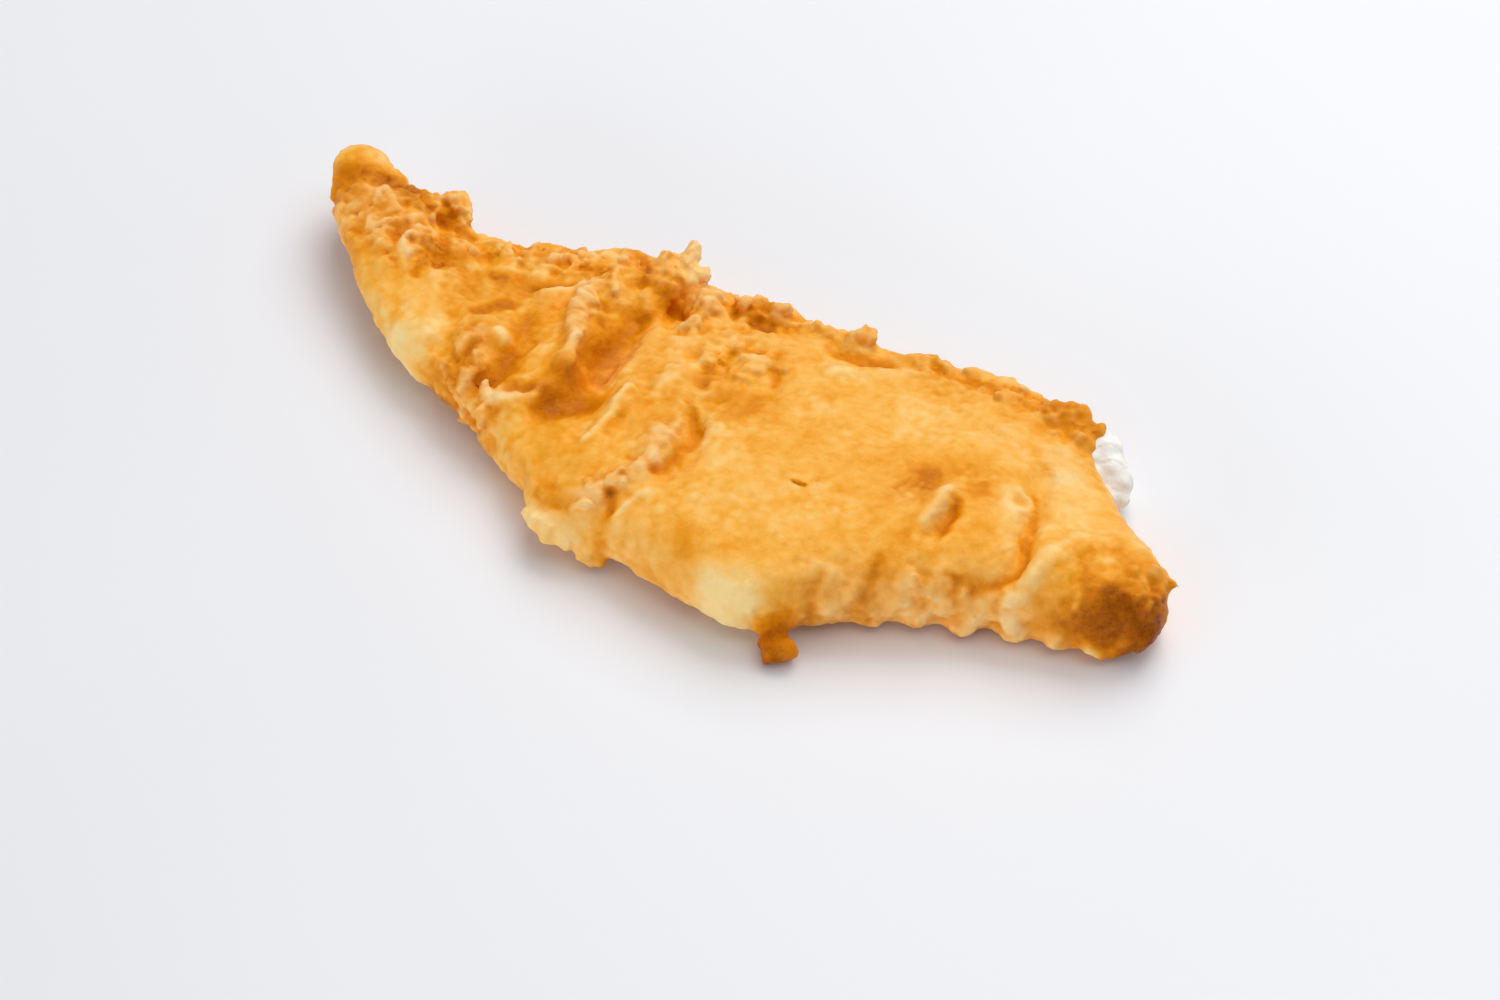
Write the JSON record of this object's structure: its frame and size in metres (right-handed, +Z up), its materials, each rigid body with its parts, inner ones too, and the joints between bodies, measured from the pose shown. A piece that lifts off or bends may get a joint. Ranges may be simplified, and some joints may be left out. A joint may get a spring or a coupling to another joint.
{
  "type": "fried fish fillet",
  "caption": "Whole battered and deep-fried fish fillet with a craggy golden crust, a tapering tail and white flesh showing where the crust opens at the back; lies on its flat underside",
  "frame": {"origin": "under the middle of the fillet's box, on the table it lies on", "axes": "X runs along the fillet from the tail (-X) to the thick end (+X), Y from the front edge (-Y) to the back edge (+Y), Z up through its thickness"},
  "size_m": [0.2384, 0.1003, 0.0225],
  "materials": {
    "golden_batter": "fried batter, golden, slightly oily",
    "white_flesh": "cooked white fish, moist"
  },
  "bodies": {
    "root": {"batter_crust": "golden_batter", "fish_flesh": "white_flesh"}
  },
  "joints": []
}
